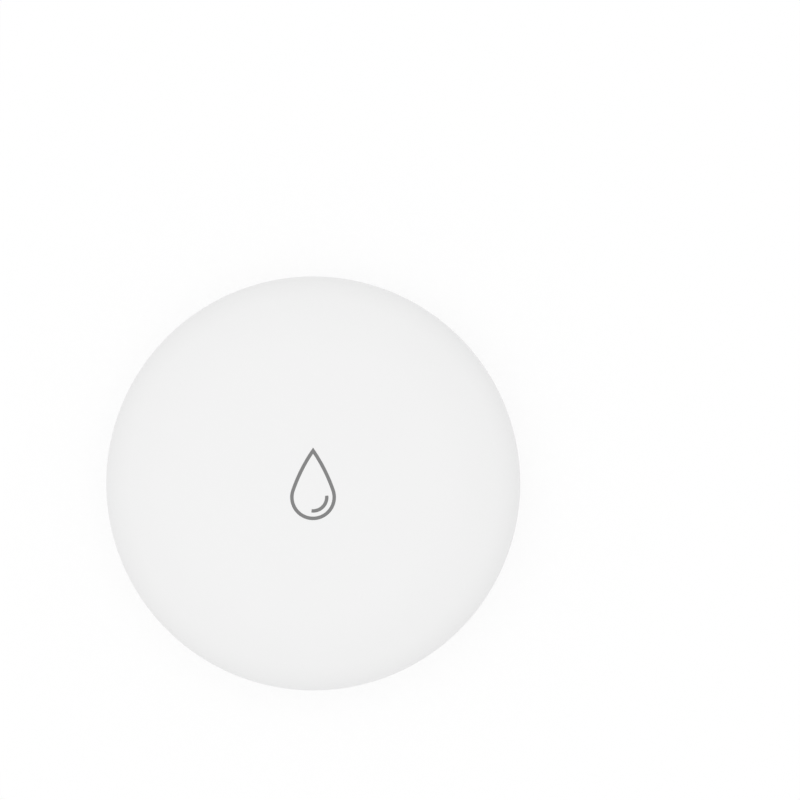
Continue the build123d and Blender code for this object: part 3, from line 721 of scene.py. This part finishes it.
# The circuit board: a round of glass-fibre laminate under green solder mask.
# Copper tracks show through the mask as paler lines, and the routed edge shows the bare laminate.
board_radius, routed_edge_depth = 20.0, 0.03
track_spacing, track_share, clearance_share, via_spacing, via_share = 2.6, 0.075, 0.2, 2.1, 0.085
mask_green = Finish("solder_mask", specular_ior_level=0.6)
board_face = mask_green.wire.vector("MULTIPLY", mask_green.place, (1.0, 1.0, 0.0))
nearest, next_nearest = [
    mask_green.wire.node(
        "ShaderNodeTexVoronoi",
        {"voronoi_dimensions": "2D", "distance": "MANHATTAN", "feature": feature},
        {"Vector": board_face, "Scale": 1 / (track_spacing * mm)},
    )
    for feature in ("F1", "F2")
]
from_track = next_nearest - nearest
on_track = from_track < track_share
on_gap = (from_track < clearance_share) - on_track
via_distance = mask_green.wire.node(
    "ShaderNodeTexVoronoi",
    {"voronoi_dimensions": "2D"},
    {"Vector": board_face, "Scale": 1 / (via_spacing * mm)},
)
on_via = via_distance < via_share
weave = mask_green.noise(0.35, 2.0)
board_reach = mask_green.wire.vector("LENGTH", board_face, output="Value")
routed_edge = board_reach > (board_radius - routed_edge_depth) * mm
copper_green = mask_green.mix(weave, (0.012, 0.13, 0.05, 1.0), (0.018, 0.16, 0.06, 1.0))
face_green = mask_green.mix(on_gap, copper_green, (0.006, 0.06, 0.026, 1.0))
face_green = mask_green.mix(on_via, face_green, (0.5, 0.42, 0.2, 1.0))
mask_green.feed("Base Color", mask_green.mix(routed_edge, face_green, (0.42, 0.38, 0.2, 1.0)))
mask_green.feed("Roughness", routed_edge * 0.4 + weave * 0.1 + 0.22)
mask_green.relief(1 - on_gap + weave * 0.1, 0.02)
dress("circuit_board", mask_green)


# The contacts: four pieces of gold-flashed spring strip, stamped, bent and soldered under the board.
# A leaf rests on the cell's cap, a curved strip beside its can, and a hook on the end of each probe.
gold_strip = Finish("gold_flashed_strip", metallic=1.0)
rolling = gold_strip.noise(0.05, 3.0, (1.0, 1.0, 14.0))
gold_drift = gold_strip.noise(1.0, 3.0)
gold_strip.feed("Base Color", gold_strip.mix(gold_drift, (0.72, 0.49, 0.2, 1.0), (0.86, 0.64, 0.31, 1.0)))
gold_strip.feed("Roughness", gold_drift * 0.12 + rolling * 0.12 + 0.18)
gold_strip.relief(rolling, 0.0015)
for node_name in ("negative_contact", "positive_contact", "probe_contact_front", "probe_contact_back"):
    dress(node_name, gold_strip, rounding=0.03)


# The coin cell: a nickel-plated steel can, crimped over a black grommet that insulates the cap.
# Its core of pressed powder is sealed inside. The can is scuffed a little from handling.
nickel = Finish("nickel_plate", metallic=1.0)
scuffs = nickel.noise(0.09, 3.0, (30.0, 1.0, 1.0))
nickel_drift = nickel.noise(3.0, 4.0)
brushed = nickel_drift * 0.5 + scuffs * 0.5
nickel.feed("Base Color", nickel.mix(brushed, (0.54, 0.525, 0.5, 1.0), (0.76, 0.745, 0.72, 1.0)))
nickel.feed("Roughness", nickel_drift * 0.16 + scuffs * 0.14 + 0.16)
nickel.relief(scuffs, 0.0005)
dress("cell_can", nickel)
dress("cell_cap", nickel)

powder = moulded(
    "pressed_powder", (0.05, 0.05, 0.052), (0.018, 0.018, 0.02),
    roughness=0.85, spread=0.2, grain=0.08, depth=0.02,
)
dress("cell_core", powder)
black_moulding = moulded(
    "black_moulding", (0.03, 0.03, 0.031), (0.016, 0.016, 0.017),
    roughness=0.42, spread=0.16, grain=0.07, depth=0.0015,
)
dress("cell_grommet", black_moulding)


# The tact switch: a black moulded well with a plated cover plate, four bent pins and a steel snap disc.
# Its black plunger, which the dome's post presses, moves with the button.
dress("switch_housing", black_moulding, rounding=0.12)
dress("switch_plunger", black_moulding, rounding=0.08)
dress("switch_cover", nickel, rounding=0.05)
dress("switch_terminals", nickel, rounding=0.04)
dress("switch_snap", pressed_steel)


# The single chips on the board, each soldered by its ends or its underside.
# The radio is black epoxy over a row of tinned pads, and the tall tantalum block is the battery's reserve.
board_top = 7.2
tin = (0.62, 0.62, 0.64, 1.0)


def chip_finish(name, middle, half_body, light, dark, roughness, pad_top=0.0):
    """A chip's body colour between tinned ends, which begin at half the body's length from its middle."""
    made = Finish(name)
    drift = made.noise(0.4, 3.0)
    offset = made.wire.math("ABSOLUTE", made.axis("X") - middle * mm)
    ends = offset > half_body * mm
    if pad_top:
        ends = made.axis("Z") < (board_top + pad_top) * mm
    body = made.mix(drift, (*dark, 1.0), (*light, 1.0))
    made.feed("Base Color", made.mix(ends, body, tin))
    made.feed("Metallic", ends * 0.95)
    made.feed("Roughness", drift * 0.15 + ends * -0.1 + roughness)
    made.relief(made.noise(0.06, 3.0), 0.002)
    return made


radio_finish = chip_finish(
    "radio_epoxy", middle=-12.0, half_body=2.5, light=(0.03, 0.03, 0.032), dark=(0.017, 0.017, 0.018),
    roughness=0.45, pad_top=0.12,
)
crystal_finish = chip_finish(
    "crystal_can", middle=-12.0, half_body=0.0, light=(0.5, 0.5, 0.5), dark=(0.4, 0.4, 0.4),
    roughness=0.3,
)
antenna_finish = chip_finish(
    "antenna_ceramic", middle=0.0, half_body=4.1, light=(0.75, 0.76, 0.72), dark=(0.66, 0.67, 0.63),
    roughness=0.4,
)
capacitor_finish = chip_finish(
    "capacitor_epoxy", middle=12.4, half_body=1.45, light=(0.78, 0.42, 0.06), dark=(0.68, 0.34, 0.04),
    roughness=0.42,
)
dress("radio_chip", radio_finish, rounding=0.05)
dress("crystal", crystal_finish, rounding=0.08)
dress("antenna", antenna_finish, rounding=0.06)
dress("storage_capacitor", capacitor_finish, rounding=0.08)

led_place, phosphor_radius = (0.0, 5.4, 0.0), 0.42
led_finish = Finish("led_epoxy", coat_weight=0.6)
led_distance = led_finish.wire.vector(
    "DISTANCE",
    led_finish.wire.vector("MULTIPLY", led_finish.place, (1.0, 1.0, 0.0)),
    tuple(mm * value for value in led_place),
    "Value",
)
phosphor = led_distance < phosphor_radius * mm
led_drift = led_finish.noise(0.3, 2.0)
led_body = led_finish.mix(led_drift, (0.72, 0.71, 0.66, 1.0), (0.82, 0.81, 0.77, 1.0))
led_finish.feed("Base Color", led_finish.mix(phosphor, led_body, (0.85, 0.66, 0.08, 1.0)))
led_finish.feed("Roughness", led_drift * 0.1 + 0.14)
led_finish.relief(phosphor, 0.02)
dress("status_led", led_finish, rounding=0.06)


# The small resistors and capacitors: ceramic bodies between tinned end caps, in one node.
# Each is built anew, because its caps stand a little proud of its body.
def block(x, y, length, width, low, high, rounding, material_index):
    """A small block with softened edges."""
    shape = prism(
        [(x - length / 2, y - width / 2), (x + length / 2, y - width / 2),
         (x + length / 2, y + width / 2), (x - length / 2, y + width / 2)], low, high
    )
    bmesh.ops.bevel(shape, geom=shape.edges[:], offset=rounding, segments=2, affect="EDGES", profile=0.5)
    for face in shape.faces:
        face.material_index = material_index
    return shape


passive_spots = [
    (-6.6, 4.0), (-6.6, 2.0), (7.2, -4.0), (7.2, -2.0), (7.2, 0.0), (-3.4, -12.4), (-1.0, -12.4),
    (1.4, -12.4), (-2.4, 14.0), (2.4, 14.0), (12.4, -2.0), (12.4, -4.0),
]
passive_length, passive_width, passive_height, cap_length = 1.6, 0.8, 0.5, 0.32
body_lap, body_inset, body_lift, body_sink, body_rounding, cap_rounding = 0.04, 0.06, 0.02, 0.04, 0.02, 0.05
cap_top = board_top + passive_height
passive_blocks = []
for x, y in passive_spots:
    passive_blocks.append(block(
        x, y, passive_length - 2 * cap_length + body_lap, passive_width - body_inset,
        board_top + body_lift, cap_top - body_sink, body_rounding, 0,
    ))
    for side in (-1, 1):
        cap_x = x + side * (passive_length - cap_length) / 2
        passive_blocks.append(block(cap_x, y, cap_length, passive_width, board_top, cap_top, cap_rounding, 1))
fired_ceramic = moulded(
    "fired_ceramic", (0.36, 0.27, 0.19), (0.26, 0.19, 0.13),
    roughness=0.5, spread=0.15, grain=0.05, depth=0.002,
)
tinned = Finish("tinned_end", metallic=1.0)
tin_drift = tinned.noise(0.2, 3.0)
tinned.feed("Base Color", tinned.mix(tin_drift, (0.55, 0.55, 0.57, 1.0), (0.7, 0.7, 0.72, 1.0)))
tinned.feed("Roughness", tin_drift * 0.2 + 0.25)
tinned.relief(tin_drift, 0.004)
chip_parts = together(passive_blocks)
piece("chip_parts", chip_parts, [fired_ceramic, tinned], ["passive_parts"], "housing")


# The case screws: four small plated pan-head screws with a cross recess.
# They go up through the lower housing into the dome's bosses, and the base hides them.
case_screws = together([
    screw(
        spot, head=(1.4, 4.1, 4.9), head_rounding=0.3, crest=0.85, root=0.62, pitch=0.5, tip=10.9,
        cross=(1.7, 0.45, 0.4),
    )
    for spot in screw_spots
])
piece("boss_screws", case_screws, [nickel], ["case_screws"], "housing")


# The dome: the sensor's whole upper face, moulded in one piece of satin white plastic without a seam.
# Its middle is thinner, so that it bends inwards when it is pressed; a post under it reaches the switch.
edge_radius, shoulder_radius, body_radius = 4.66, 22.5, 25.0
back_lean, edge_lean, crown_lean = (math.radians(value) for value in (46.7, 23.2, 5.7))
opening_radius, wall, thin_wall, full_wall_radius, thinning_reach = 22.4, 1.5, 0.8, 11.5, 3.0
crown_ring_spacing, crown_rings, inner_ring_spacing, inner_rings = 0.25, 62, 0.5, 30
lip_turn, lip_shifts = 0.03, [(-0.03, 0.045), (-0.09, 0.012), (-0.16, 0.0), (-0.19, 0.0)]
mouth_shifts = [(0.13, 0.0), (0.1, 0.0), (0.03, 0.03), (0.0, 0.1), (0.0, 0.13)]


def leaning(angle):
    return Vector((math.sin(angle), math.cos(angle)))


edge_middle = Vector((body_radius - edge_radius, back_height + edge_radius * math.sin(back_lean)))
shoulder_middle = edge_middle - leaning(edge_lean) * (shoulder_radius - edge_radius)
crown_radius = shoulder_radius + shoulder_middle.x / leaning(crown_lean).x
crown_middle = shoulder_middle - leaning(crown_lean) * (crown_radius - shoulder_radius)


def arc(middle, radius, start, end, steps):
    """Points of an arc, whose angles lean outwards from straight up."""
    return [middle + leaning(start + (end - start) * step / steps) * radius for step in range(1, steps + 1)]


def crown_height(radius, inset=0.0):
    return crown_middle.y + math.sqrt((crown_radius - inset) ** 2 - radius**2)


crown_radii = [crown_ring_spacing * step for step in range(crown_rings)]
skin = [Vector((radius, crown_height(radius))) for radius in crown_radii]
skin.append(crown_middle + leaning(crown_lean) * crown_radius)
skin += arc(shoulder_middle, shoulder_radius, crown_lean, edge_lean, steps=20)
skin += arc(edge_middle, edge_radius, edge_lean, math.pi / 2 + back_lean - lip_turn, steps=44)
back_corner = edge_middle + leaning(math.pi / 2 + back_lean) * edge_radius
mouth_corner = Vector((opening_radius, back_height))
skin += [back_corner + Vector(shift) for shift in lip_shifts]
skin += [mouth_corner + Vector(shift) for shift in mouth_shifts]
inner_lean = math.asin((opening_radius - edge_middle.x) / (edge_radius - wall))
skin.append(edge_middle + leaning(inner_lean) * (edge_radius - wall))
skin += arc(edge_middle, edge_radius - wall, inner_lean, edge_lean, steps=10)
skin += arc(shoulder_middle, shoulder_radius - wall, edge_lean, crown_lean, steps=12)
for step in range(inner_rings - 1, -1, -1):
    radius = inner_ring_spacing * step
    share = min(max((full_wall_radius - radius) / thinning_reach, 0.0), 1.0)
    inset = wall - (wall - thin_wall) * share * share * (3 - 2 * share)
    skin.append(Vector((radius, crown_height(radius, inset))))

dome_white = moulded(
    "dome_white", shell_light, shell_dark, roughness=0.42, spread=0.12, grain=0.1, depth=0.0035,
    edges=[(back_corner.x, back_corner.y, 0.4)], specular_ior_level=0.45,
)
dome_shape = turned(skin, even_angles(288))
dome = piece("dome_skin", dome_shape, [dome_white], ["top_shell", "button_disc"])
still_radius, pressed_radius = 11.0, 4.8
crown_height(still_radius) * mm
crown_height(pressed_radius) * mm
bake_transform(dome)

pilot_radius, pilot_top, screw_boss_radius, screw_boss_top = 0.88, 11.0, 2.0, 13.3
screw_boss_profile = rounded([
    (0.0, pilot_top, 0.0),
    (pilot_radius, pilot_top, edge_rounding),
    (pilot_radius, plate_top, rib_rounding),
    (screw_boss_radius, plate_top, edge_rounding),
    (screw_boss_radius, screw_boss_top, 0.0),
    (0.0, screw_boss_top, 0.0),
], steps=4)
screw_bosses = together([turned(screw_boss_profile, even_angles(48), spot) for spot in screw_spots])
piece("screw_bosses", screw_bosses, [dome_white], ["top_shell"], "housing")

post_radius, post_low, post_top, post_rounding = 1.5, 12.2, 14.2, 0.15
post_profile = rounded([
    (0.0, post_low, 0.0),
    (post_radius, post_low, post_rounding),
    (post_radius, post_top, 0.0),
    (0.0, post_top, 0.0),
], steps=4)
post = turned(post_profile, even_angles(64))
piece("press_post", post, [dome_white], ["button_disc"], "button")


# The drop mark: an outline drop with a quarter-round glint in it, the common sign for water.
# It is pad-printed in grey ink on the crown, a few hundredths of a millimetre thick.
stroke, drop_radius, drop_middle, drop_tip, glint_radius = 0.42, 2.76, -1.63, 4.35, 1.65
join_lean = math.radians(19.0)
ink_top, ink_low = 0.01, -0.03
centre = Vector((0.0, drop_middle))
tip = Vector((0.0, drop_tip))
outwards = Vector((math.cos(join_lean), math.sin(join_lean)))
join = centre + outwards * drop_radius
side_radius = (join - tip).length_squared / (2 * outwards.dot(join - tip))
side_middle = join - outwards * side_radius


def side_points(inset, steps):
    """The drop's right side from its tip to where it joins the round, moved inwards."""
    radius = side_radius - inset
    start = math.acos(-side_middle.x / radius)
    return [
        side_middle + Vector((math.cos(a), math.sin(a))) * radius
        for a in (start + (join_lean - start) * step / steps for step in range(steps + 1))
    ]


def drop_outline(inset):
    side_steps, round_steps = 40, 48
    right = side_points(inset, side_steps)
    for step in range(1, round_steps + 1):
        angle = join_lean - (join_lean + math.pi / 2) * step / round_steps
        right.append(centre + Vector((math.cos(angle), math.sin(angle))) * (drop_radius - inset))
    left = [Vector((-point.x, point.y)) for point in reversed(right[1:-1])]
    return right + left


def ink_band(outer, inner):
    """A thin closed band of ink between two outlines, laid on the crown."""
    shape = bmesh.new()
    rings = []
    for outline, lift in ((outer, ink_low), (outer, ink_top), (inner, ink_top), (inner, ink_low)):
        rings.append([
            shape.verts.new((point.x, point.y, crown_height(point.length) + lift)) for point in outline
        ])
    for low, high in zip(rings, rings[1:] + rings[:1]):
        for index in range(len(low)):
            after = (index + 1) % len(low)
            shape.faces.new((low[index], low[after], high[after], high[index]))
    bmesh.ops.recalc_face_normals(shape, faces=shape.faces)
    return shape


def glint_shape():
    """The glint, a quarter of a ring with blunt ends, as a thin bent plate of ink on the crown."""
    columns, overlap, blunting = 36, math.radians(6.5), (0.82, 0.96, 1.0)
    sweep_start, sweep = -math.pi / 2 - overlap, math.pi / 2 + 2 * overlap
    shape = bmesh.new()
    rings = []
    for column in range(columns + 1):
        angle = sweep_start + sweep * column / columns
        from_end = min(column, columns - column)
        half = stroke / 2 * blunting[min(from_end, len(blunting) - 1)]
        way = Vector((math.cos(angle), math.sin(angle)))
        ring = []
        for across, lift in ((half, ink_low), (half, ink_top), (-half, ink_top), (-half, ink_low)):
            point = centre + way * (glint_radius + across)
            ring.append(shape.verts.new((point.x, point.y, crown_height(point.length) + lift)))
        rings.append(ring)
    for one, other in zip(rings, rings[1:]):
        for corner in range(4):
            after = (corner + 1) % 4
            shape.faces.new((one[corner], one[after], other[after], other[corner]))
    shape.faces.new(rings[0])
    shape.faces.new(rings[-1])
    bmesh.ops.recalc_face_normals(shape, faces=shape.faces)
    return shape


grey_ink = Finish("grey_ink", specular_ior_level=0.4)
ink_drift = grey_ink.noise(0.5, 3.0)
ink_pores = grey_ink.noise(0.04, 2.0)
ink_share = ink_drift * 0.5 + ink_pores * 0.5
grey_ink.feed("Base Color", grey_ink.mix(ink_share, (0.195, 0.195, 0.195, 1.0), (0.22, 0.22, 0.22, 1.0)))
grey_ink.feed("Roughness", ink_pores * 0.15 + 0.45)
grey_ink.relief(ink_pores, 0.001)
mark = together([ink_band(drop_outline(0.0), drop_outline(stroke)), glint_shape()])
piece("drop_print", mark, [grey_ink], ["drop_mark"], "button")


# The studio: a plain pale floor and an even white surround, with one broad soft lamp straight above.
# The camera sees floor and surround as white, and the floor still keeps the sensor's shadow.
# The floor can't be seen from below, and lets the surround's light through to what lies just above it,
# so the base is as light as in the photograph, where the sensor hangs clear of any floor.
surround_level, lamp_level, floor_shade, floor_glow = 0.85, 0.47, 0.92, 0.82
float_reach = 6.0
lamp_width, lamp_lean = math.radians(60), math.radians(-6)
floor_reach, floor_height = 3000.0, -0.01


def seen(wire):
    """One where the camera looks, straight or by way of gloss or glass."""
    rays = [wire.node("ShaderNodeLightPath", output=name) for name in (
        "Is Camera Ray", "Is Glossy Ray", "Is Transmission Ray"
    )]
    return wire.math("MAXIMUM", wire.math("MAXIMUM", rays[0], rays[1]), rays[2])


world = bpy.data.worlds.new("white_surround")
world.use_nodes = True
surround = Wire(world.node_tree)
background = world.node_tree.nodes["Background"]
background.inputs["Color"].default_value = (1.0, 1.0, 1.0, 1.0)
level = seen(surround) * (1 - surround_level) + surround_level
world.node_tree.links.new(level.socket, background.inputs["Strength"])
bpy.context.scene.world = world

floor_finish = Finish("pale_floor", roughness=1.0, specular_ior_level=0.0)
floor_seen = seen(floor_finish.wire)
floor_finish.feed(
    "Base Color",
    floor_finish.mix(floor_seen, (floor_shade, floor_shade, floor_shade, 1.0), (1.0, 1.0, 1.0, 1.0)),
)
glow = floor_finish.wire.node("ShaderNodeEmission")
lit_floor = floor_finish.wire.node(
    "ShaderNodeMixShader",
    None,
    {0: floor_seen * floor_glow, 1: Wire(floor_finish.tree, floor_finish.shader.outputs[0]), 2: glow},
)
clear = floor_finish.wire.node("ShaderNodeBsdfTransparent")
from_below = floor_finish.wire.node("ShaderNodeNewGeometry", output="Backfacing")
from_nearby = floor_finish.wire.node("ShaderNodeLightPath", output="Ray Length") < float_reach * mm
see_through = floor_finish.wire.math("MAXIMUM", from_below, from_nearby)
one_sided = floor_finish.wire.node("ShaderNodeMixShader", None, {0: see_through, 1: lit_floor, 2: clear})
floor_finish.tree.links.new(one_sided.socket, floor_finish.tree.nodes["Material Output"].inputs["Surface"])

floor_mesh = bpy.data.meshes.new("floor")
floor_corners = [
    (x * floor_reach * mm, y * floor_reach * mm, floor_height * mm)
    for x, y in ((-1, -1), (1, -1), (1, 1), (-1, 1))
]
floor_mesh.from_pydata(floor_corners, [], [(0, 1, 2, 3)])
floor_mesh.materials.append(floor_finish.material)
floor = bpy.data.objects.new("floor", floor_mesh)
bpy.context.scene.collection.objects.link(floor)

lamp_data = bpy.data.lights.new("soft_lamp", "SUN")
lamp_data.energy = lamp_level
lamp_data.angle = lamp_width
lamp = bpy.data.objects.new("soft_lamp", lamp_data)
lamp.location = (0.0, 0.0, 500 * mm)
lamp.rotation_euler.y = lamp_lean
bpy.context.scene.collection.objects.link(lamp)
